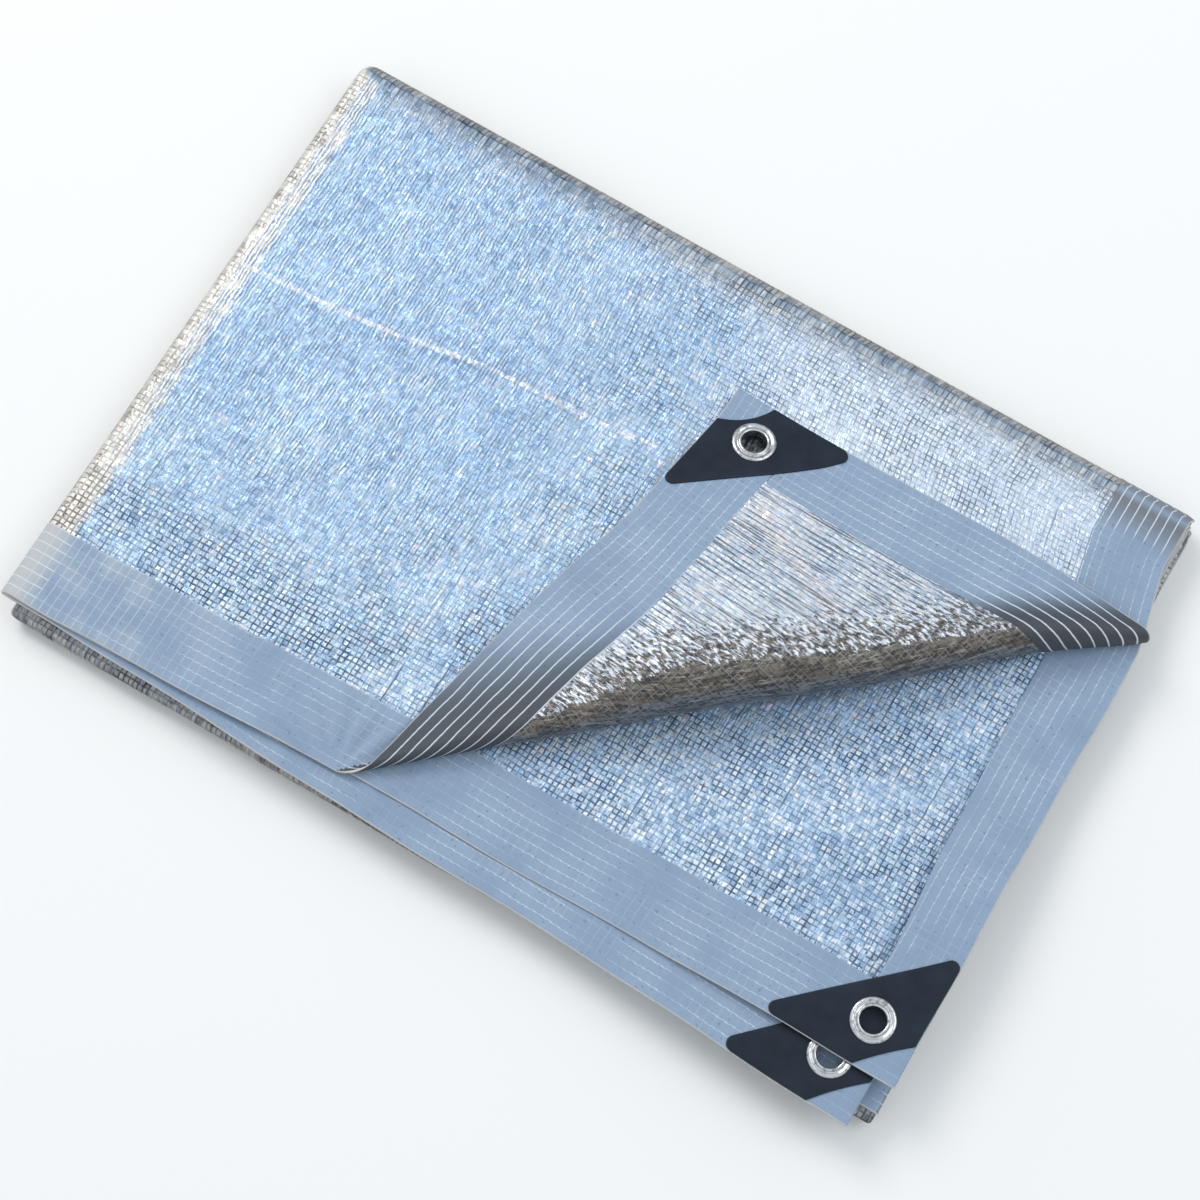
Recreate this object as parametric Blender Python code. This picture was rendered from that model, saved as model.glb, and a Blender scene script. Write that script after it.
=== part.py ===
"""Folded shade net: a knitted aluminised net with bound edges, corner patches and eyelets.

The net is one flat cut. It is doubled four times, by turns along X and along Y, and each time the
far half goes under, so that sixteen layers lie on each other with all four corners at the front
right, in the top four layers. The corner of the top layer is turned back over the top.
Units are metres, +Z is up, and the origin is the middle of the bundle's footprint.
"""

import math

import bmesh
import bpy
import numpy as np
from mathutils import Vector

MM = 0.001

# cloth
CLOTH = 1.0 * MM  # thickness of the net and of the binding
GAP = 0.6 * MM  # air between two layers
LAYERS = 16
SEAM = 0.3 * MM  # between pieces that touch on the real net

# bundle, seen from above, with the long fold at +Y and the bound edges at -Y and +X
LEFT_END = -265.4 * MM
BACK_END = 187.7 * MM
RIGHT_EDGE = 259 * MM  # mean place of the bound short edges
FRONT_EDGE = -169.8 * MM  # mean place of the bound long edges
NOSE_RIGHT = 264 * MM  # closed folds that end at the right
NOSE_FRONT = -177.8 * MM  # closed folds that end at the front

# binding
FRONT_BAND = 44 * MM
SIDE_BAND = 42 * MM
# width of the side band that ends in layers 2 and 3, by distance from its front end
TAPER_FROM = 62 * MM
TAPER_TO = 245 * MM
TAPER_WIDTH = 34 * MM

# corner patch, in distances from the two edges
PATCH = 1.0 * MM
PATCH_LEG = 79 * MM
PATCH_CUT = 24 * MM
PATCH_HOLLOW = 3 * MM  # how far the short cut side bends inwards
PATCH_TIP = 4 * MM  # radius of the two long tips
PATCH_INSET = 0.5 * MM
EYE_INSET = 25 * MM

# eyelet
EYE_BORE = 6.8 * MM
EYE_BARREL = 7.6 * MM
EYE_RIM = 12 * MM
EYE_LIP = 0.8 * MM
EYE_HOLE = 8.0 * MM  # hole in binding and patches
EYE_SIDES = 16

# turned-back corner: the crest runs from the front edge to the right edge
CREST_START = Vector((-57.7 * MM, FRONT_EDGE))
CREST_END = Vector((RIGHT_EDGE, 105.9 * MM))
ROLL_TURN = math.radians(192)
ROLL_DRIFT = 10.5 * MM  # how far the turned-back part slides along the crest, to the right
ROLL_TWIST = 0.038  # slide back to the left, for each unit of length beyond the roll
ROLL_REACH = 25 * MM  # the roll starts less than this far inside the crest
ROLL = (
    # distance along the crest in mm, radius of the roll in mm and its slope, how far the crest
    # bows out in mm and its slope
    (0, 2.5, 0.05, 0.0, 0.02),
    (60, 6.5, 0.07, 1.2, 0.02),
    (120, 12.5, 0.16, 2.6, 0.02),
    (172, 20.8, -0.045, 4.0, 0.006),
    (240, 17.74, -0.045, 4.4, 0.0),
    (300, 15.04, -0.045, 2.4, -0.06),
    (360, 10.8, -0.09, -1.6, -0.03),
    (425, 2.5, -0.13, 0.0, 0.04),
)


# how far each layer's open edges lie from the mean edges, in mm: dy of the front edge at four
# places along X, and dx of the right edge at four places along Y
SHIFT_X = (-233, -63, 97, 257)
SHIFT_Y = (-173, -58, 102, 150)
LAYER_SHIFTS = (
    # layer, front edge dy at SHIFT_X, right edge dx at SHIFT_Y
    (1, (-4, 4, 10, 15), (0, 0, 5, -5)),
    (2, (-4, 7, 9, 10.5), (5.5, 5.5, 5.5, -4)),
    (3, (-5, -9, -11.5, -18), (-5, -5, -2, -3.5)),
    (4, (-5, -3, 6, 12), (-3, -3, -3, -3)),
    (5, (-5, -3, -3, -3), (0, 0, -3, -6)),
    (12, (-3, -1, 0, 0), (0, 0, -3, -6)),
    (13, (-2, 0, 1, 1), (3, 3, 1, -2)),
    (16, (-1, 1, 1, 1), (3, 3, 2, 0)),
)
LOWER_LEFT = 8 * MM  # how far the lower folds stay back from the left end

# rise of the layers over the thick corner, in mm
CORNER_RISE = ((1, 9.2), (2, 9.2), (3, 5.7), (4, 2.2), (5, 0), (16, 0))
RISE_FLAT = 90 * MM  # the rise is level this far from the corner's edges
RISE_END = 190 * MM

# slight waves of the top layer
WAVE = 0.9 * MM


def stack(layers):
    """Height of so many layers."""
    return layers * CLOTH + (layers - 1) * GAP


def neutral(layers):
    """Radius at which a stack bends without stretching."""
    return (stack(layers) + GAP) / 2


def outer(layers):
    """Outer radius of a folded stack."""
    return stack(layers) + GAP / 2


HEIGHT = stack(LAYERS)
PITCH = CLOTH + GAP

# where the bends begin, outermost fold of each direction last
X_LAST = LEFT_END + outer(4)
Y_LAST = BACK_END - outer(8)
X_FIRST = 2 * X_LAST + outer(1) - math.pi * neutral(4) - NOSE_RIGHT
Y_FIRST = 2 * Y_LAST + math.pi * neutral(8) - outer(2) - NOSE_FRONT
NET_LONG = 2 * (RIGHT_EDGE - X_FIRST) + math.pi * neutral(1)
NET_WIDE = 2 * (Y_FIRST - FRONT_EDGE) + math.pi * neutral(2)


def ease(share):
    """Smooth step from 0 to 1."""
    share = np.clip(share, 0, 1)
    return share * share * (3 - 2 * share)


def bend_under(along, z, line, side, layers):
    """Bend what lies beyond the line down, round and back under the stack."""
    beyond = side * (along - line)
    turn = np.clip(beyond / neutral(layers), 0, math.pi)
    radius = z + GAP / 2
    before = np.minimum(beyond, 0)
    past = np.maximum(beyond - math.pi * neutral(layers), 0)
    along = line + side * (before + radius * np.sin(turn) - past)
    z = radius * np.cos(turn) - GAP / 2 + stack(layers) + GAP
    return along, z


def along_roll(s, column):
    """Value of a column of ROLL at distance s along the crest, with the next column as its slope."""
    knots = np.array([row[0] for row in ROLL]) * MM
    values = np.array([row[column] for row in ROLL]) * MM
    slopes = np.array([row[column + 1] for row in ROLL])
    s = np.clip(s, knots[0], knots[-1])
    k = np.clip(np.searchsorted(knots, s, side="right") - 1, 0, len(knots) - 2)
    gap = knots[k + 1] - knots[k]
    t = (s - knots[k]) / gap
    ends = values[k] + (values[k + 1] - values[k]) * ease(t)
    leaving = (t**3 - 2 * t**2 + t) * gap * slopes[k]
    coming = (t**3 - t**2) * gap * slopes[k + 1]
    return ends + leaving + coming


def roll_radius(s):
    """Radius of the turned-back roll at distance s along the crest."""
    return along_roll(s, 1)


def crest_bow(s):
    """How far the crest bows out of its straight line at distance s."""
    return along_roll(s, 3)


def crest_frame():
    """Start, direction, outward normal and length of the crest."""
    along = CREST_END - CREST_START
    length = along.length
    along = along / length
    return CREST_START, along, Vector((along.y, -along.x)), length


def turn_back(x, y, z, top):
    """Roll the top layer's corner up and back over itself."""
    start, along, out = crest_frame()[:3]
    s = (x - start.x) * along.x + (y - start.y) * along.y
    e = (x - start.x) * out.x + (y - start.y) * out.y
    radius = roll_radius(s)
    bow = crest_bow(s)
    rolled = e - bow + radius
    turn = np.clip(rolled / radius, 0, ROLL_TURN)
    straight = np.maximum(rolled - radius * ROLL_TURN, 0)
    across = bow + radius * (np.sin(turn) - 1) + straight * math.cos(ROLL_TURN)
    rise = radius * (1 - np.cos(turn)) + straight * math.sin(ROLL_TURN)
    lifted = top & (rolled > 0)
    s = s + ROLL_DRIFT * ease(turn / ROLL_TURN) - ROLL_TWIST * straight
    x = np.where(lifted, start.x + s * along.x + across * out.x, x)
    y = np.where(lifted, start.y + s * along.y + across * out.y, y)
    z = np.where(lifted, z + rise, z)
    return x, y, z


def layer_of(z):
    """Layer number at a height, from 1 at the top to 16 at the bottom."""
    return np.clip(1 + (HEIGHT - CLOTH / 2 - z) / PITCH, 1, LAYERS)


def edge_shift(layer, place, places, column):
    """Shift at a place along an edge, between the rows of LAYER_SHIFTS."""
    rows = [np.interp(place, np.array(places) * MM, np.array(r[column]) * MM) for r in LAYER_SHIFTS]
    numbers = [r[0] for r in LAYER_SHIFTS]
    total = np.zeros_like(layer)
    for k in range(len(rows)):
        hat = np.zeros(len(rows))
        hat[k] = 1
        total += np.interp(layer, numbers, hat) * rows[k]
    return total


def settle(x, y, z):
    """Shift the open edges, draw in the lower left folds and raise the thick corner."""
    layer = layer_of(z)
    to_front = np.clip((Y_LAST - y) / (Y_LAST - FRONT_EDGE), 0, 1)
    to_right = np.clip((x - X_LAST) / (RIGHT_EDGE - X_LAST), 0, 1)
    dx = edge_shift(layer, y, SHIFT_Y, 2) * to_right
    dy = edge_shift(layer, x, SHIFT_X, 1) * to_front
    dx = dx + LOWER_LEFT * ease((layer - 4) / 10) * (1 - to_right)
    near = ease((x - RIGHT_EDGE + RISE_END) / (RISE_END - RISE_FLAT))
    near = near * ease((FRONT_EDGE + RISE_END - y) / (RISE_END - RISE_FLAT))
    numbers, rises = zip(*CORNER_RISE)
    lift = near * np.interp(layer, numbers, rises) * MM
    inside = ease(to_right * 5) * ease(to_front * 5) * ease((2.2 - layer) / 1.2)
    swell = 1 + np.sin(x / (70 * MM) + 1.3) * np.cos(y / (60 * MM) - x / (150 * MM))
    lift = lift + WAVE * inside * swell * (1 - ease((z - HEIGHT) / (2 * MM)))
    return x + dx, y + dy, z + lift


def middle(u, v):
    """Place of the cloth's middle surface: u from the right edge, v from the front edge."""
    x = RIGHT_EDGE - u
    y = FRONT_EDGE + v
    z = np.full_like(x, CLOTH / 2)
    top = (x > X_LAST) & (y < Y_LAST)
    x, y, z = turn_back(x, y, z, top)
    x, z = bend_under(x, z, X_FIRST, -1, 1)
    y, z = bend_under(y, z, Y_FIRST, 1, 2)
    x, z = bend_under(x, z, X_LAST, -1, 4)
    y, z = bend_under(y, z, Y_LAST, 1, 8)
    return np.stack(settle(x, y, z), axis=-1)


def on_cloth(u, v, offset):
    """Points at an offset from the cloth's middle surface, towards its upper face as it was cut."""
    step = 0.02 * MM
    across = middle(u - step, v) - middle(u + step, v)
    up = middle(u, v + step) - middle(u, v - step)
    normal = np.cross(across, up)
    normal /= np.linalg.norm(normal, axis=1)[:, None]
    return middle(u, v) + normal * np.reshape(offset, (-1, 1))


def spread(low, high, parts):
    """Evenly spaced values, both ends in."""
    return [low + (high - low) * k / parts for k in range(parts + 1)]


def fold_lines(first, last, layers_first, layers_last, parts_first, parts_last):
    """Crease lines of one direction, as distances from the first open edge."""
    bend_first = math.pi * neutral(layers_first)
    bend_last = math.pi * neutral(layers_last)
    lines = spread(last, last + bend_last, parts_last)
    lines += spread(first, first + bend_first, parts_first)
    far = 2 * first + bend_first - last
    lines += spread(far - bend_last, far, parts_last)
    return lines


def inner_lines(places, whole):
    """Lines at distances from both open edges."""
    return [p * MM for p in places] + [whole - p * MM for p in places]


U_LINES = fold_lines(RIGHT_EDGE - X_FIRST, RIGHT_EDGE - X_LAST, 1, 4, 3, 4)
U_LINES += inner_lines((92, 120, 150, 188, 290, 400, 660, 850), NET_LONG)
V_LINES = fold_lines(Y_FIRST - FRONT_EDGE, Y_LAST - FRONT_EDGE, 2, 8, 4, 8)
V_LINES += inner_lines((92, 120, 150, 188, 265, 530), NET_WIDE)


def side_band(v, tapered):
    """Width of a side band at distance v from its front end."""
    if not tapered:
        return SIDE_BAND
    share = min(max((v - TAPER_FROM) / (TAPER_TO - TAPER_FROM), 0), 1)
    return TAPER_WIDTH + (SIDE_BAND - TAPER_WIDTH) * share


def add_grid(mesh, columns, rows):
    """Grid of quads on the flat cut."""
    points = [[mesh.verts.new((u, v, 0)) for u in columns] for v in rows]
    for j in range(len(rows) - 1):
        for i in range(len(columns) - 1):
            mesh.faces.new((points[j][i], points[j][i + 1], points[j + 1][i + 1], points[j + 1][i]))


def add_pierced(mesh, low, high, bottom, top, centre):
    """Rectangle with a round hole, as four faces."""
    corners = [(high, top), (low, top), (low, bottom), (high, bottom)]
    outer_ring = [mesh.verts.new((u, v, 0)) for u, v in corners]
    ring = []
    for k in range(EYE_SIDES):
        angle = 2 * math.pi * (k + EYE_SIDES / 8) / EYE_SIDES
        u = centre[0] + EYE_HOLE * math.cos(angle)
        v = centre[1] + EYE_HOLE * math.sin(angle)
        ring.append(mesh.verts.new((u, v, 0)))
    quarter = EYE_SIDES // 4
    for k in range(4):
        arc = [ring[(k * quarter + j) % EYE_SIDES] for j in range(quarter + 1)]
        mesh.faces.new([outer_ring[k], outer_ring[(k + 1) % 4]] + arc[::-1])


def between(lines, low, high):
    """Sorted lines of a piece, with its two ends."""
    return [low] + sorted(p for p in lines if low + MM < p < high - MM) + [high]


def cut_along(mesh, point, direction, wanted):
    """Cut the wanted faces along a line through the point."""
    faces = [f for f in mesh.faces if wanted(f.calc_center_median())]
    geometry = set(faces)
    for face in faces:
        geometry.update(face.edges)
        geometry.update(face.verts)
    side = Vector((-direction.y, direction.x, 0))
    bmesh.ops.bisect_plane(
        mesh, geom=list(geometry), dist=0.05 * MM, plane_co=Vector((*point, 0)), plane_no=side
    )


def flat_place(s, e):
    """Flat coordinates of a point given along and across the crest."""
    start, along, out, length = crest_frame()
    place = start + along * s + out * e
    return Vector((RIGHT_EDGE - place.x, place.y - FRONT_EDGE))


def roll_line(s, turn):
    """Flat place where the roll has turned so far at distance s along the crest."""
    return flat_place(s, float(crest_bow(s) + roll_radius(s) * (turn - 1)))


def cut_for_roll(mesh):
    """Cut the top layer's corner along and across the roll."""
    start, along, out, length = crest_frame()

    def crest_place(centre):
        x = RIGHT_EDGE - centre.x - start.x
        y = FRONT_EDGE + centre.y - start.y
        return x * along.x + y * along.y, x * out.x + y * out.y

    def in_roll(low, high):
        def wanted(centre):
            top = centre.x < RIGHT_EDGE - X_LAST and centre.y < Y_LAST - FRONT_EDGE
            s, e = crest_place(centre)
            return top and low < s < high and e > -ROLL_REACH
        return wanted

    stations = [0] + [row[0] * MM for row in ROLL[1:-1]] + [length]
    for s in stations:
        low, high = flat_place(s, 0), flat_place(s, 1)
        cut_along(mesh, low, high - low, in_roll(-1, 1))
    for a, b in zip(stations, stations[1:]):
        for turn in (0, 0.5, 1, 1.5, 2, 2.5, 3, ROLL_TURN):
            low, high = roll_line(a, turn), roll_line(b, turn)
            cut_along(mesh, low, high - low, in_roll(a, b))


def closed_sheet(name, mesh, low, high, material):
    """Turn a flat pattern into one closed solid on the folded cloth."""
    bmesh.ops.triangulate(mesh, faces=mesh.faces[:], quad_method="BEAUTY", ngon_method="BEAUTY")
    mesh.verts.ensure_lookup_table()
    u = np.array([v.co.x for v in mesh.verts], dtype=float)
    v = np.array([v.co.y for v in mesh.verts], dtype=float)
    count = len(u)
    upper = on_cloth(u, v, np.full(count, high))
    under = on_cloth(u, v, np.full(count, low))
    faces = []
    for face in mesh.faces:
        a, b, c = (vert.index for vert in face.verts)
        faces.append((a, b, c))
        faces.append((c + count, b + count, a + count))
    for edge in mesh.edges:
        if len(edge.link_faces) == 1:
            loop = edge.link_loops[0]
            a, b = loop.vert.index, loop.link_loop_next.vert.index
            faces.append((b, a, a + count, b + count))
    mesh.free()
    return make_object(name, np.vstack((upper, under)), faces, material)


def make_object(name, points, faces, material):
    """Mesh object with its faces pointing out."""
    data = bpy.data.meshes.new(name)
    data.from_pydata(points.tolist(), [], faces)
    solid = bmesh.new()
    solid.from_mesh(data)
    bmesh.ops.recalc_face_normals(solid, faces=solid.faces[:])
    if solid.calc_volume(signed=True) < 0:
        bmesh.ops.reverse_faces(solid, faces=solid.faces[:])
    solid.to_mesh(data)
    solid.free()
    data.materials.append(material)
    item = bpy.data.objects.new(name, data)
    bpy.context.collection.objects.link(item)
    return item


def make_net(material):
    """The knitted net, one solid, between the four bands."""
    mesh = bmesh.new()
    columns = between(U_LINES, SIDE_BAND + SEAM, NET_LONG - SIDE_BAND - SEAM)
    rows = between(V_LINES, FRONT_BAND + SEAM, NET_WIDE - FRONT_BAND - SEAM)
    add_grid(mesh, columns, rows)
    for vert in mesh.verts:
        if vert.co.x > NET_LONG - SIDE_BAND - 2 * SEAM:
            vert.co.x = NET_LONG - side_band(vert.co.y, True) - SEAM
    cut_for_roll(mesh)
    return closed_sheet("net", mesh, -CLOTH / 2, CLOTH / 2, material)


def make_front_band(name, far, material):
    """Binding of a long edge, with the hole of an eyelet near each end."""
    mesh = bmesh.new()
    bottom, top = (NET_WIDE - FRONT_BAND, NET_WIDE) if far else (0, FRONT_BAND)
    eye_v = NET_WIDE - EYE_INSET if far else EYE_INSET
    add_pierced(mesh, 0, FRONT_BAND, bottom, top, (EYE_INSET, eye_v))
    columns = between(U_LINES, FRONT_BAND, NET_LONG - FRONT_BAND)
    add_grid(mesh, columns, (bottom, top))
    add_pierced(mesh, NET_LONG - FRONT_BAND, NET_LONG, bottom, top, (NET_LONG - EYE_INSET, eye_v))
    bmesh.ops.remove_doubles(mesh, verts=mesh.verts[:], dist=0.01 * MM)
    if not far:
        cut_for_roll(mesh)
    return closed_sheet(name, mesh, -CLOTH / 2, CLOTH / 2, material)


def make_side_band(name, far, material):
    """Binding of a short edge, between the two long bands."""
    mesh = bmesh.new()
    columns = (NET_LONG - SIDE_BAND, NET_LONG) if far else (0, SIDE_BAND)
    rows = between(V_LINES, FRONT_BAND + SEAM, NET_WIDE - FRONT_BAND - SEAM)
    add_grid(mesh, columns, rows)
    if far:
        for vert in mesh.verts:
            if vert.co.x < NET_LONG - SIDE_BAND / 2:
                vert.co.x = NET_LONG - side_band(vert.co.y, True)
    else:
        cut_for_roll(mesh)
    return closed_sheet(name, mesh, -CLOTH / 2, CLOTH / 2, material)


def patch_outline():
    """Outline of a corner patch, as distances from the two edges."""
    low = PATCH_INSET
    reach = PATCH_TIP / math.tan(math.radians(22.5))
    tip = (PATCH_LEG - reach, low + PATCH_TIP)
    points = [(PATCH_CUT, low)]
    for degrees in (-90, -45, 0, 45):
        angle = math.radians(degrees)
        points.append((tip[0] + PATCH_TIP * math.cos(angle), tip[1] + PATCH_TIP * math.sin(angle)))
    points += [(q, p) for p, q in reversed(points)]
    middle_in = (PATCH_CUT + low) / 2 + PATCH_HOLLOW / math.sqrt(2)
    points.append((middle_in, middle_in))
    return points


def make_patch(name, corner, side, material):
    """One ply of a corner patch, on the upper or the under side of the binding."""
    mesh = bmesh.new()
    loops = [[place_in_corner(p, q, corner) for p, q in patch_outline()]]
    ring = []
    for k in range(EYE_SIDES):
        angle = 2 * math.pi * k / EYE_SIDES
        p = EYE_INSET + EYE_HOLE * math.cos(angle)
        q = EYE_INSET + EYE_HOLE * math.sin(angle)
        ring.append(place_in_corner(p, q, corner))
    loops.append(ring)
    for loop in loops:
        verts = [mesh.verts.new((u, v, 0)) for u, v in loop]
        for a, b in zip(verts, verts[1:] + verts[:1]):
            mesh.edges.new((a, b))
    bmesh.ops.triangle_fill(mesh, use_beauty=True, edges=mesh.edges[:])
    near = CLOTH / 2 + SEAM
    low, high = (near, near + PATCH) if side > 0 else (-near - PATCH, -near)
    return closed_sheet(name, mesh, low, high, material)


def place_in_corner(p, q, corner):
    """Flat coordinates from distances to a corner's side edge and front edge."""
    far_u, far_v = corner
    return (NET_LONG - p if far_u else p), (NET_WIDE - q if far_v else q)


def make_eyelet(name, corner, material):
    """Rolled metal eyelet through the binding and both plies, standing square to them."""
    u, v = place_in_corner(EYE_INSET, EYE_INSET, corner)
    u, v = np.array([u]), np.array([v])
    centre = on_cloth(u, v, 0)[0]
    normal = on_cloth(u, v, 1)[0] - centre
    across = middle(u + MM, v)[0] - middle(u - MM, v)[0]
    across -= normal * np.dot(across, normal)
    across /= np.linalg.norm(across)
    along = np.cross(normal, across)
    seat = CLOTH / 2 + SEAM + PATCH + SEAM
    crown = seat + EYE_LIP
    half = (
        (EYE_BORE, seat - 0.1 * MM),
        (EYE_BORE + 0.6 * MM, crown - 0.2 * MM),
        ((EYE_BORE + EYE_RIM) / 2, crown),
        (EYE_RIM - 0.7 * MM, crown - 0.2 * MM),
        (EYE_RIM, seat + 0.2 * MM),
        (EYE_RIM - 0.4 * MM, seat),
        (EYE_BARREL, seat),
    )
    profile = list(half) + [(r, -w) for r, w in reversed(half)]
    count = len(profile)
    angles = 2 * math.pi * np.arange(EYE_SIDES) / EYE_SIDES
    radii = np.array([r for r, w in profile])
    heights = np.array([w for r, w in profile])
    flat = np.cos(angles)[:, None, None] * across + np.sin(angles)[:, None, None] * along
    points = centre + flat * radii[None, :, None] + heights[None, :, None] * normal
    faces = []
    for k in range(EYE_SIDES):
        a, b = k * count, (k + 1) % EYE_SIDES * count
        for j in range(count):
            n = (j + 1) % count
            faces.append((a + j, b + j, b + n, a + n))
    item = make_object(name, points.reshape(-1, 3), faces, material)
    item.data.shade_smooth()
    item.data.set_sharp_from_angle(angle=math.radians(50))
    return item


def make_material(name, colour, roughness, metallic):
    """Principled material."""
    material = bpy.data.materials.new(name)
    material.use_nodes = True
    shader = material.node_tree.nodes["Principled BSDF"]
    shader.inputs["Base Color"].default_value = (*colour, 1)
    shader.inputs["Roughness"].default_value = roughness
    shader.inputs["Metallic"].default_value = metallic
    return material


def main():
    """Build every piece of the folded net."""
    for item in list(bpy.data.objects):
        bpy.data.objects.remove(item, do_unlink=True)
    net = make_material("aluminised_net", (0.52, 0.66, 0.80), 0.35, 0.7)
    tape = make_material("woven_binding", (0.33, 0.45, 0.60), 0.5, 0.0)
    black = make_material("black_patch", (0.022, 0.03, 0.045), 0.45, 0.0)
    metal = make_material("eyelet_metal", (0.80, 0.80, 0.78), 0.2, 1.0)
    make_net(net)
    make_front_band("binding_front_upper", False, tape)
    make_front_band("binding_front_lower", True, tape)
    make_side_band("binding_side_upper", False, tape)
    make_side_band("binding_side_lower", True, tape)
    # corners by layer, from the turned-back one down: far along the length, far along the width
    corners = ((1, (False, False)), (2, (True, False)), (3, (True, True)), (4, (False, True)))
    for layer, corner in corners:
        make_patch(f"patch_{layer}_front", corner, 1, black)
        make_patch(f"patch_{layer}_back", corner, -1, black)
        make_eyelet(f"eyelet_{layer}", corner, metal)


main()
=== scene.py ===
import math

import bmesh
import bpy
import numpy as np
from mathutils import Matrix, Vector


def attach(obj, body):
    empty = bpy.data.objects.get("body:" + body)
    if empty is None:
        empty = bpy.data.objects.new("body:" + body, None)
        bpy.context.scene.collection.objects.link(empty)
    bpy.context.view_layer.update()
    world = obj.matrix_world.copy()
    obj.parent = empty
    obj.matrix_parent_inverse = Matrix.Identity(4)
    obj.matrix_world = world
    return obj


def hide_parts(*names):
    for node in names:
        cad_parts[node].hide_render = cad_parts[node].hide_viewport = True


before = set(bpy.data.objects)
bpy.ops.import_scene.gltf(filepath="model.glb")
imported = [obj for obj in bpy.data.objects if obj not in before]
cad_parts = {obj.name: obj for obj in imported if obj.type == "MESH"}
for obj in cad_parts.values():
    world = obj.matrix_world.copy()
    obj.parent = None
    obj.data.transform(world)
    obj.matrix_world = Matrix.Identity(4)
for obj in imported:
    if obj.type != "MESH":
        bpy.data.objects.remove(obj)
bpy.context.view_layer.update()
mm = 0.001
eyeInset = 25 * mm  # from both edges to the middle of an eyelet
holeRadius = 9.4 * mm  # of the holes in the tapes, under the eyelets

# The fold

fold = {
    "cloth": 1.0,  # thickness of one layer, all in mm
    "gap": 0.6,
    "layers": 16,
    "leftEnd": -265.4,
    "backEnd": 187.7,
    "rightEdge": 259.0,
    "frontEdge": -169.8,
    "noseRight": 264.0,
    "noseFront": -177.8,
    "lowerLeft": 8.0,
    "riseFlat": 90.0,
    "riseEnd": 190.0,
    "wave": 0.9,
}
cornerRise = ((1, 9.2), (2, 9.2), (3, 5.7), (4, 2.2), (5, 0.0), (16, 0.0))
shiftX = (-233, -63, 97, 257)
shiftY = (-173, -58, 102, 150)
layerShifts = (
    # layer, front edge dy at shiftX, right edge dx at shiftY, in mm
    (1, (-4, 4, 10, 15), (0, 0, 5, -5)),
    (2, (-4, 7, 9, 10.5), (5.5, 5.5, 5.5, -4)),
    (3, (-5, -9, -11.5, -18), (-5, -5, -2, -3.5)),
    (4, (-5, -3, 6, 12), (-3, -3, -3, -3)),
    (5, (-5, -3, -3, -3), (0, 0, -3, -6)),
    (12, (-3, -1, 0, 0), (0, 0, -3, -6)),
    (13, (-2, 0, 1, 1), (3, 3, 1, -2)),
    (16, (-1, 1, 1, 1), (3, 3, 2, 0)),
)

roll = {
    "start": (-57.7, -169.8),  # ends of the crest, in mm
    "end": (259.0, 105.9),
    "turn": math.radians(192),
    "drift": 10.5,
    "twist": 0.038,
    "rows": (
        # distance along the crest, radius and its slope, bow and its slope
        (0, 2.5, 0.05, 0.0, 0.02),
        (60, 6.5, 0.07, 1.2, 0.02),
        (120, 12.5, 0.16, 2.6, 0.02),
        (172, 20.8, -0.045, 4.0, 0.006),
        (240, 17.74, -0.045, 4.4, 0.0),
        (300, 15.04, -0.045, 2.4, -0.06),
        (360, 10.8, -0.09, -1.6, -0.03),
        (425, 2.5, -0.13, 0.0, 0.04),
    ),
}

unevenness = {
    "swell": 0.8,  # long soft waves of the whole bundle, in mm
    "ripple": 0.28,  # short ripples between them
    "edge": 0.7,  # wander of the bound edges
    "crease": 0.7,  # the old fold line across the top layer
    "creaseFrom": (-257.0, 46.0),
    "creaseTo": (-10.0, 71.0),
    "wornFrom": (57.0, 50.0),  # a worn streak under the turned-back corner, in flat u and v
    "wornTo": (87.0, 120.0),
    "fan": 0.45,  # short wrinkles fanning out from the start of the crest
    "fanCentre": (-62.0, -176.0),
}


def ease(t):
    # 3t^2 - 2t^3 between 0 and 1
    t = np.clip(t, 0, 1)
    return t * t * (3 - 2 * t)


def stackHeight(count):
    # layers and the gaps between them
    return (count * fold["cloth"] + (count - 1) * fold["gap"]) * mm


def neutralRadius(count):
    # half of the stack and one gap: the radius on which a bend keeps its length
    return (stackHeight(count) + fold["gap"] * mm) / 2


def outerRadius(count):
    # the stack and half a gap
    return stackHeight(count) + fold["gap"] * mm / 2


height = stackHeight(fold["layers"])
pitch = (fold["cloth"] + fold["gap"]) * mm
rightEdge = fold["rightEdge"] * mm
frontEdge = fold["frontEdge"] * mm
xLast = fold["leftEnd"] * mm + outerRadius(4)
yLast = fold["backEnd"] * mm - outerRadius(8)
xFirst = 2 * xLast + outerRadius(1) - math.pi * neutralRadius(4) - fold["noseRight"] * mm
yFirst = 2 * yLast + math.pi * neutralRadius(8) - outerRadius(2) - fold["noseFront"] * mm
netLong = 2 * (rightEdge - xFirst) + math.pi * neutralRadius(1)
netWide = 2 * (yFirst - frontEdge) + math.pi * neutralRadius(2)

crestStart = Vector(roll["start"]) * mm
crestAlong = (Vector(roll["end"]) * mm - crestStart).normalized()
crestOut = Vector((crestAlong.y, -crestAlong.x))
crestAngle = math.atan2(crestAlong.y, -crestAlong.x)  # of the crest on the flat cut


def bendUnder(along, z, line, side, count):
    # past the line the cloth goes half round a circle of radius z and back underneath
    beyond = side * (along - line)
    turn = np.clip(beyond / neutralRadius(count), 0, math.pi)
    radius = z + fold["gap"] * mm / 2
    past = np.maximum(beyond - math.pi * neutralRadius(count), 0)
    along = line + side * (np.minimum(beyond, 0) + radius * np.sin(turn) - past)
    z = radius * np.cos(turn) - fold["gap"] * mm / 2 + stackHeight(count) + fold["gap"] * mm
    return along, z


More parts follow.
